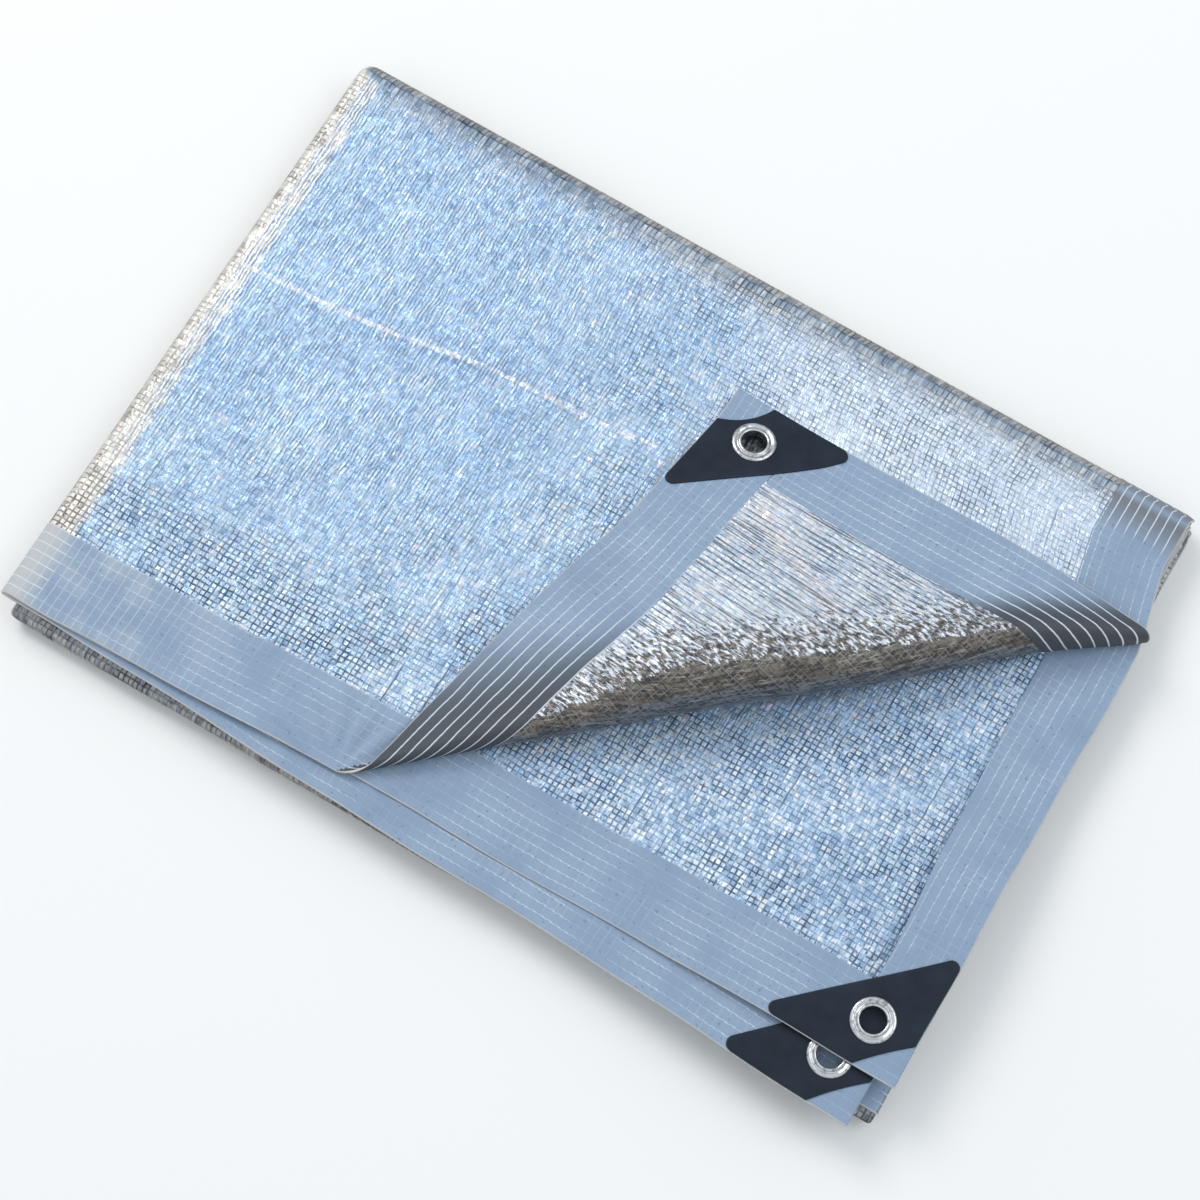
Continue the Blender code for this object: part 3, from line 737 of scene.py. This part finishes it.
    bright = product(tree, minus(tree, dull), remap(tree, curl, 0.03, 0.2), remap(tree, scraps, 0.46, 0.36))
    colour = blend(tree, product(tree, bright, 0.75), colour, knit["glint"])
    # painted shadow on the cloth seen through the eyelet of the turned-back corner
    shade = product(tree, readAttribute(tree, "shade"), remap(tree, dashes, 0.35, 0.65, 1.0, 0.75))
    colour = blend(tree, shade, colour, knit["rollDark"])
    # relief: a crowned cell that leans by chance
    part = [calc(tree, "FRACT", c) for c in cells]
    leanU = product(tree, calc(tree, "SUBTRACT", part[0], 0.5), spread(tree, chance.outputs[0], 1.8))
    leanV = product(tree, calc(tree, "SUBTRACT", part[1], 0.5), spread(tree, chance.outputs[2], 1.8))
    relief = summed(tree, leanU, leanV, spread(tree, dashes, 1.6))
    relief = calc(tree, "SUBTRACT", relief, product(tree, gapShare, 0.7))
    roughness = remap(tree, luck.outputs["Value"], 0, 1, 0.28, 0.48)
    inputs = {"Roughness": roughness, "Metallic": 0.5}
    endMaterial(tree, shader, colour, relief, 0.6, knit["relief"], inputs)
    return material


def taperedSide(v):
    # width of the lower side band: it grows evenly between two distances from its front end
    low, high = tape["taperFrom"], tape["taperTo"]
    wider = tape["side"] - tape["sideNarrow"]
    return tape["sideNarrow"] + wider * np.clip((v - low) / (high - low), 0, 1)


def makeNet(material):
    # the sheet between the tapes, reaching into them by the seam
    sizes = (knit["step"], 1.6, 26, 1.0, 26, 1.6, 9)
    columns = panelLines(netLong, rightEdge - xFirst, rightEdge - xLast, (1, 4), sizes)
    sizes = (knit["step"], 1.9, 30, 1.2, 30, 1.9, 22)
    rows = panelLines(netWide, yFirst - frontEdge, yLast - frontEdge, (2, 8), sizes)
    low = tape["side"] - knit["seam"]
    columns = between(columns, low, netLong - low)
    low = tape["front"] - knit["seam"]
    rows = between(rows, low, netWide - low)

    def taper(u, v):
        # the end on the lower side tape follows its width
        end = u > netLong - tape["side"] + knit["seam"] - 0.5 * mm
        return np.where(end, netLong - taperedSide(v) + knit["seam"], u)

    half, roundOff = knit["half"], knit["roundOff"]
    piece = sheetPiece("netCloth", columns, rows, half, roundOff, taper=taper, tapeCloth=False)
    return dress(piece, "net", material)


# The bindings

tape = {
    "front": 44 * mm,  # width along the long edges
    "side": 42 * mm,
    "sideNarrow": 34 * mm,  # the lower side band at its front, up to its full width
    "taperFrom": 62 * mm,
    "taperTo": 245 * mm,
    "half": 0.72 * mm,  # half of its thickness, folded over the edge
    "roundOff": 0.6 * mm,
    "rowStep": 1.7 * mm,  # grid step across the tape
    "closeStep": 1.2 * mm,  # and along it, where it goes round the roll
    "closeFront": (230 * mm, 325 * mm),
    "closeSide": (215 * mm, 292 * mm),
    "threads": 5.45 * mm,  # between the light threads
    "crossThreads": 5.0 * mm,
    "weave": 0.95 * mm,
    "relief": 0.35 * mm,
    "cloth": (0.245, 0.335, 0.468),
    "clothPale": (0.312, 0.412, 0.548),
    "thread": (0.66, 0.72, 0.78, 1),
    "speck": (0.15, 0.23, 0.36, 1),
    # curlColour and rimColour: painted shade on the roll and at the folds; creamColour: painted highlight on
    # the left folds
    "curlColour": (0.050, 0.054, 0.062, 1),
    "rimColour": (0.145, 0.135, 0.13, 1),
    "hem": (0.62, 0.57, 0.50, 1),
    "wornColour": (0.56, 0.58, 0.58, 1),
    "creamColour": (0.62, 0.60, 0.56, 1),
}


def bindingMaterial():
    # U runs along the tape and V across it, from the outer edge
    material, tree, shader = newMaterial("wovenTape")
    flat = addNode(tree, "ShaderNodeUVMap", uv_map="flat").outputs[0]
    axes = addNode(tree, "ShaderNodeSeparateXYZ", {0: flat})
    along, across = axes.outputs[0], axes.outputs[1]
    curl, rim, cream = (readAttribute(tree, k) for k in ("curl", "rim", "cream"))
    old, deep = (readAttribute(tree, k) for k in ("old", "deep"))
    wander = spread(tree, noise(tree, flat, 26, 2.0), 0.0022)
    across = summed(tree, across, wander)
    skew = spread(tree, noise(tree, flat, 33, 2.0), 0.003)
    along = summed(tree, along, skew)
    cloud = noise(tree, flat, 30, 4.0, 0.6)
    colour = colourRamp(tree, cloud, ((0.3, tape["cloth"]), (0.7, tape["clothPale"])))
    # fine weave
    turns = 2 * math.pi / tape["weave"]
    waves = [calc(tree, "SINE", product(tree, axis, turns)) for axis in (along, across)]
    fine = product(tree, *waves)
    colour = blend(tree, remap(tree, fine, 0.1, 1.0, 0.0, 0.25), colour, tape["speck"])
    # light threads: dashes along the tape, faint lines across it
    rows = calc(tree, "DIVIDE", across, tape["threads"])
    cross = calc(tree, "DIVIDE", along, tape["crossThreads"])
    threadMask = lineMask(tree, rows, 0.03, 0.055)
    crossMask = lineMask(tree, cross, 0.022, 0.05)
    shift = product(tree, calc(tree, "FLOOR", rows), 0.37)
    dash = calc(tree, "FRACT", summed(tree, cross, shift))
    dash = calc(tree, "ABSOLUTE", calc(tree, "SUBTRACT", dash, 0.5))
    dashMask = remap(tree, dash, 0.36, 0.27, 0.0, 1.0)
    dashFade = remap(tree, noise(tree, flat, 30, 3.0), 0.38, 0.6, 0.18, 0.95)
    crossFade = remap(tree, noise(tree, flat, 45, 3.0), 0.45, 0.68, 0.04, 0.30)
    crossFade = summed(tree, crossFade, product(tree, old, 0.5), product(tree, deep, 0.08))
    dashFade = summed(tree, dashFade, product(tree, deep, 0.25))
    crossShare = product(tree, crossMask, crossFade, remap(tree, curl, 0.45, 0.10))
    threadShare = largest(tree, product(tree, threadMask, dashMask, dashFade), crossShare)
    speckMask = remap(tree, noise(tree, flat, 420, 1.0), 0.66, 0.74, 0.0, 0.7)
    worn = product(tree, old, remap(tree, cloud, 0.4, 0.7, 0.0, 0.4))
    # painted shade where the tape goes round the roll; bent: where painted shade or highlight lies
    turnedTape = product(tree, remap(tree, curl, 0.12, 0.80), 0.96)
    bent = largest(tree, remap(tree, curl, 0.02, 0.3), remap(tree, largest(tree, rim, cream), 0.05, 0.3))
    hem = remap(tree, axes.outputs[1], 0.0010, 0.0002, 0.0, 0.75)
    # painted shade on the roll and at the folds, painted highlight on the left folds; where they lie the
    # light threads show whole
    layers = (
        (speckMask, "speck"),
        (worn, "wornColour"),
        (turnedTape, "curlColour"),
        (product(tree, rim, 0.75), "rimColour"),
        (product(tree, cream, 0.7), "creamColour"),
        (product(tree, threadShare, 0.8), "thread"),
        (product(tree, threadMask, bent, 0.85), "thread"),
        (hem, "hem"),
    )
    for share, label in layers:
        colour = blend(tree, share, colour, tape[label])
    relief = summed(tree, product(tree, fine, 0.25), product(tree, threadMask, 0.6),
                    product(tree, noise(tree, flat, 240, 2.0), 0.8))
    inputs = {"Roughness": 0.5, "Specular IOR Level": 0.3}
    endMaterial(tree, shader, colour, relief, 0.35, tape["relief"], inputs)
    return material


def makeFrontBinding(name, node, far, material):
    # tape on a long edge, from corner to corner, with its two holes
    sizes = (2.4, 1.6, 26, 1.0, 26, 1.6, 7)
    columns = panelLines(netLong, rightEdge - xFirst, rightEdge - xLast, (1, 4), sizes)
    low, high = (netWide - tape["front"], netWide) if far else (0.0, tape["front"])
    fine = steps(eyeInset - 14 * mm, eyeInset + 14 * mm, 1.6 * mm)
    columns += fine + [netLong - p for p in fine]
    if not far:
        columns += steps(*tape["closeFront"], tape["closeStep"])
    columns = between(columns, 0.0, netLong, (0.2, 0.5))
    rows = between(steps(low, high, tape["rowStep"]), low, high, (0.2, 0.5))
    eyeV = netWide - eyeInset if far else eyeInset
    holes = ((eyeInset, eyeV, holeRadius), (netLong - eyeInset, eyeV, holeRadius))
    piece = sheetPiece(name, columns, rows, tape["half"], tape["roundOff"], holes)
    if far:
        flipAcross(piece, netWide)
    return dress(piece, node, material)


def makeSideBinding(name, node, far, material):
    # tape on a short edge, between the long ones
    sizes = (2.4, 1.9, 30, 1.2, 30, 1.9, 22)
    rows = panelLines(netWide, yFirst - frontEdge, yLast - frontEdge, (2, 8), sizes)
    low, high = (netLong - tape["side"], netLong) if far else (0.0, tape["side"])
    if not far:
        rows += steps(*tape["closeSide"], tape["closeStep"])
    columns = between(steps(low, high, tape["rowStep"]), low, high, (0.2, 0.5))
    rows = between(rows, tape["front"] + 0.05 * mm, netWide - tape["front"] - 0.05 * mm)

    def taper(u, v):
        # the lower tape narrows towards its front end
        return netLong - (netLong - u) * taperedSide(v) / tape["side"]

    narrow = taper if far else None
    piece = sheetPiece(name, columns, rows, tape["half"], tape["roundOff"], taper=narrow, swap=True)
    if far:
        flipAcross(piece, netLong)
    return dress(piece, node, material)


def flipAcross(piece, whole):
    # V is counted from the outer edge: whole - V
    uvData = piece.data.uv_layers["flat"].data
    flat = np.zeros(len(uvData) * 2, np.float32)
    uvData.foreach_get("uv", flat)
    flat[1::2] = whole - flat[1::2]
    uvData.foreach_set("uv", flat)


# The patches and the eyelets

patch = {
    "leg": 79.0,  # in mm, from the corner along each edge
    "cut": 24.0,
    "tip": 4.0,
    "inset": 0.5,
    "near": 0.76,  # from the middle of the cloth to the ply
    "far": 1.8,
    "hole": 7.7,  # radius of its hole, under the eyelet
    "rings": 14,
    "around": 160,
    "relief": 0.3 * mm,
    "colour": (0.0088, 0.0150, 0.0265),
    "worn": (0.019, 0.029, 0.046),
    "rimColour": (0.05, 0.062, 0.082, 1),
}
corners = (
    # layer, far end along u and v, how far the short cut side bends in, in mm
    (1, (False, False), 3.0),
    (2, (True, False), 0.8),
    (3, (True, True), 0.8),
    (4, (False, True), 0.8),
)


def placeInCorner(p, q, corner):
    # p and q inwards from the two edges of a corner, as u and v
    farU, farV = corner
    return (netLong - p if farU else p), (netWide - q if farV else q)


def patchOutline(count, hollow):
    # even points round the patch: two legs with round tips, the long side and the hollow cut
    low, tip = patch["inset"], patch["tip"]
    reach = tip / math.tan(math.radians(22.5))
    centre = (patch["leg"] - reach, low + tip)
    arc = np.radians(np.linspace(-90, 45, 12))
    firstTip = np.stack((centre[0] + tip * np.cos(arc), centre[1] + tip * np.sin(arc)), 1)
    start = np.array([[patch["cut"], low]])
    t = np.linspace(0, 1, 14)[1:-1, None]
    a, b = np.array((low, patch["cut"])), np.array((patch["cut"], low))
    bend = 4 * t * (1 - t) * hollow / math.sqrt(2)
    cut = a + (b - a) * t + bend
    path = np.vstack((start, firstTip, firstTip[::-1, ::-1], start[:, ::-1], cut, start))
    length = np.concatenate(([0], np.cumsum(np.linalg.norm(np.diff(path, axis=0), axis=1))))
    at = np.arange(count) * length[-1] / count
    return np.stack((np.interp(at, length, path[:, 0]), np.interp(at, length, path[:, 1])), 1)


def makePatch(name, node, corner, hollow, side, material):
    # rings from the eyelet hole to the outline; the outer millimetre rounds off
    outline = patchOutline(patch["around"], hollow) * mm
    centre = np.array((eyeInset, eyeInset))
    bearing = outline - centre
    reach = np.linalg.norm(bearing, axis=1)
    edge = np.array((0.0, 0.15, 0.45, 1.0)) * mm
    share = np.linspace(0, 1, patch["rings"])[None, :]
    inner = patch["hole"] * mm
    radii = inner + (reach[:, None] - edge[-1] - inner) * share
    radii = np.concatenate((radii, reach[:, None] - edge[None, 2::-1]), axis=1)
    flat = centre + bearing[:, None, :] / reach[:, None, None] * radii[..., None]
    u, v = placeInCorner(flat[..., 0], flat[..., 1], corner)
    place, normal = clothSurface(u, v)
    toRim = np.clip((reach[:, None] - radii) / edge[-1], 0, 1)
    full = patch["near"] + (patch["far"] - patch["near"]) * (0.35 + 0.65 * np.sqrt(toRim * (2 - toRim)))
    full = full + 0.05 * np.sin(flat[..., 0] / (6 * mm)) * np.sin(flat[..., 1] / (7 * mm)) * toRim
    upper = place + normal * (side * full * mm)[..., None]
    lower = place + normal * side * patch["near"] * mm
    count, rings = radii.shape
    k, r = np.meshgrid(np.arange(count), np.arange(rings - 1), indexing="ij")
    k, r = k.ravel(), r.ravel()
    n = (k + 1) % count
    quads = np.stack((k * rings + r, n * rings + r, n * rings + r + 1, k * rings + r + 1), 1)
    total = count * rings
    k = np.arange(count)
    n = (k + 1) % count
    walls = []
    for r in (0, rings - 1):
        here, there = k * rings + r, n * rings + r
        walls.append(np.stack((here, there, there + total, here + total), 1))
    faces = np.vstack((quads, quads[:, ::-1] + total, *walls))
    points = np.vstack((upper.reshape(-1, 3), lower.reshape(-1, 3)))
    uvPlaces = np.tile(flat.reshape(-1, 2), (2, 1))
    rim = np.tile(1 - toRim.ravel(), 2)
    piece = finishMesh(name, points, faces.tolist(), uvPlaces, {"rim": rim})
    return dress(piece, node, material)


def patchMaterial():
    # near-black coated cloth with a fine grain, a little paler on its rim
    material, tree, shader = newMaterial("coatedPatch")
    flat = addNode(tree, "ShaderNodeUVMap", uv_map="flat").outputs[0]
    cloud = noise(tree, flat, 45, 4.0, 0.6)
    colour = colourRamp(tree, cloud, ((0.35, patch["colour"]), (0.75, patch["worn"])))
    rim = readAttribute(tree, "rim")
    colour = blend(tree, product(tree, rim, 0.35), colour, patch["rimColour"])
    grain = noise(tree, flat, 900, 3.0, 0.6)
    dimple = noise(tree, flat, 130, 2.0)
    relief = summed(tree, product(tree, grain, 0.4), dimple)
    inputs = {"Roughness": remap(tree, cloud, 0.3, 0.7, 0.42, 0.58), "Specular IOR Level": 0.2}
    endMaterial(tree, shader, colour, relief, 0.3, patch["relief"], inputs)
    return material


eyelet = {
    "segments": 72,
    "relief": 0.1 * mm,
    "profile": (
        # radius and height over the cloth's middle, in mm, from the bore to the flange
        (6.8, 0.9), (6.8, 1.9), (6.86, 2.4), (7.05, 2.75), (7.4, 2.98), (7.85, 3.0),
        (8.25, 2.8), (8.55, 2.5), (8.8, 2.3), (9.15, 2.22), (9.5, 2.34), (9.9, 2.6),
        (10.4, 2.78), (10.9, 2.76), (11.4, 2.58), (11.8, 2.3), (12.0, 2.05), (11.95, 1.9),
        (11.7, 1.84), (7.6, 1.84),
    ),
    "metal": (0.66, 0.67, 0.68),
    "tarnish": (0.30, 0.31, 0.32),
}


def makeEyelet(name, node, corner, material):
    # the profile and its mirror image, turned round the normal of the cloth
    u, v = placeInCorner(np.array([eyeInset]), np.array([eyeInset]), corner)
    place, normal = clothSurface(u, v)
    place, normal = place[0], normal[0]
    across = middle(u + mm, v)[0] - place
    across -= normal * np.dot(across, normal)
    across /= np.linalg.norm(across)
    along = np.cross(normal, across)
    half = np.array(eyelet["profile"]) * mm
    profile = np.vstack((half, half[::-1] * (1, -1)))
    angle = 2 * math.pi * np.arange(eyelet["segments"]) / eyelet["segments"]
    flat = np.cos(angle)[:, None, None] * across + np.sin(angle)[:, None, None] * along
    dent = 0.04 * mm * np.sin(5 * angle)[:, None, None] * normal
    points = place + flat * profile[None, :, :1] + profile[None, :, 1:] * normal + dent
    count = len(profile)
    k, r = np.meshgrid(np.arange(eyelet["segments"]), np.arange(count), indexing="ij")
    k, r = k.ravel(), r.ravel()
    n = (k + 1) % eyelet["segments"]
    m = (r + 1) % count
    faces = np.stack((k * count + r, k * count + m, n * count + m, n * count + r), 1)
    turn, run = np.meshgrid(angle * 10 * mm, np.arange(count) * mm, indexing="ij")
    uvPlaces = np.stack((turn, run), -1).reshape(-1, 2)
    piece = finishMesh(name, points.reshape(-1, 3), faces.tolist(), uvPlaces, {})
    return dress(piece, node, material)


def eyeletMaterial():
    # bright rolled metal with small dull spots
    material, tree, shader = newMaterial("rolledMetal")
    place = addNode(tree, "ShaderNodeTexCoord").outputs["Object"]
    spots = noise(tree, place, 420, 3.0, 0.6)
    colour = colourRamp(tree, spots, ((0.36, eyelet["tarnish"]), (0.52, eyelet["metal"])))
    scuff = noise(tree, place, 1500, 2.0)
    inputs = {"Roughness": remap(tree, spots, 0.35, 0.6, 0.34, 0.17), "Metallic": 1.0}
    endMaterial(tree, shader, colour, scuff, 0.12, eyelet["relief"], inputs)
    return material


# Making

netFinish = netMaterial()
tapeFinish = bindingMaterial()
patchFinish = patchMaterial()
eyeletFinish = eyeletMaterial()
netPiece = makeNet(netFinish)
print("net made,", len(netPiece.data.polygons), "faces")

bindings = [
    makeFrontBinding("bindingFrontUpper", "binding_front_upper", False, tapeFinish),
    makeFrontBinding("bindingFrontLower", "binding_front_lower", True, tapeFinish),
    makeSideBinding("bindingSideUpper", "binding_side_upper", False, tapeFinish),
    makeSideBinding("bindingSideLower", "binding_side_lower", True, tapeFinish),
]
print("bindings made,", sum(len(b.data.polygons) for b in bindings), "faces")

for layer, corner, hollow in corners:
    node = f"patch_{layer}"
    makePatch(f"patch{layer}Front", node + "_front", corner, hollow, 1, patchFinish)
    makePatch(f"patch{layer}Back", node + "_back", corner, hollow, -1, patchFinish)
    makeEyelet(f"eyelet{layer}", f"eyelet_{layer}", corner, eyeletFinish)
print("patches and eyelets made")

# Stage, light and camera

stage = {
    "floorSize": 60.0,
    "floorColour": (0.92, 0.91, 0.90, 1),
    "target": (6.57, -13.43, 12.0),  # in mm
    "azimuth": math.radians(31),
    "elevation": math.radians(74),
    "distance": 1.4395,
    "lens": 81.48,
    "zenith": (0.88, 0.95, 1.0),
    "horizon": (0.34, 0.32, 0.31),
    "worldStrength": 0.85,
    "lights": (
        # name, place and size in metres, watts, colour
        ("keyLight", (-2.2, 1.0, 2.6), 1.8, 46, (1.0, 0.98, 0.95)),
        ("fillLight", (1.6, 1.2, 2.6), 2.2, 16, (0.90, 0.95, 1.0)),
    ),
}


def makeFloor():
    # a square at height 0
    size = stage["floorSize"] / 2
    mesh = bpy.data.meshes.new("floor")
    corners = [(-size, -size, 0), (size, -size, 0), (size, size, 0), (-size, size, 0)]
    mesh.from_pydata(corners, [], [(0, 1, 2, 3)])
    floor = bpy.data.objects.new("floor", mesh)
    bpy.context.scene.collection.objects.link(floor)
    material, tree, shader = newMaterial("paleFloor")
    feed(tree, shader, {"Base Color": stage["floorColour"], "Roughness": 0.8})
    mesh.materials.append(material)


def addLight(name, place, size, power, colour):
    # a disc that faces the origin
    light = bpy.data.lights.new(name, "AREA")
    light.shape = "DISK"
    light.size = size
    light.energy = power
    light.color = colour
    item = bpy.data.objects.new(name, light)
    bpy.context.scene.collection.objects.link(item)
    back = Vector(place).normalized()
    item.matrix_world = Matrix.Translation(place) @ back.to_track_quat("Z", "Y").to_matrix().to_4x4()


def makeCamera():
    # back looks from the target to the camera
    azimuth, elevation = stage["azimuth"], stage["elevation"]
    right = Vector((math.cos(azimuth), math.sin(azimuth), 0))
    back = Vector((math.sin(azimuth) * math.cos(elevation), -math.cos(azimuth) * math.cos(elevation),
                   math.sin(elevation)))
    up = back.cross(right)
    data = bpy.data.cameras.new("camera")
    data.lens = stage["lens"]
    data.sensor_width = 36
    data.clip_start = 0.01
    camera = bpy.data.objects.new("camera", data)
    bpy.context.scene.collection.objects.link(camera)
    turn = Matrix((right, up, back)).transposed().to_4x4()
    place = Vector(stage["target"]) * mm + back * stage["distance"]
    camera.matrix_world = Matrix.Translation(place) @ turn
    bpy.context.scene.camera = camera


def makeWorld():
    # pale overhead, darker towards the horizon, so bent cloth reads darker
    world = bpy.data.worlds.new("softSky")
    world.use_nodes = True
    bpy.context.scene.world = world
    tree = world.node_tree
    direction = addNode(tree, "ShaderNodeTexCoord").outputs["Generated"]
    rise = addNode(tree, "ShaderNodeSeparateXYZ", {0: direction}).outputs[2]
    colour = colourRamp(tree, rise, ((0.05, stage["horizon"]), (0.75, stage["zenith"])))
    feed(tree, tree.nodes["Background"], {0: colour, 1: stage["worldStrength"]})


makeFloor()
makeCamera()
for row in stage["lights"]:
    addLight(*row)
makeWorld()
bpy.context.scene.view_settings.view_transform = "Standard"
print("stage made")
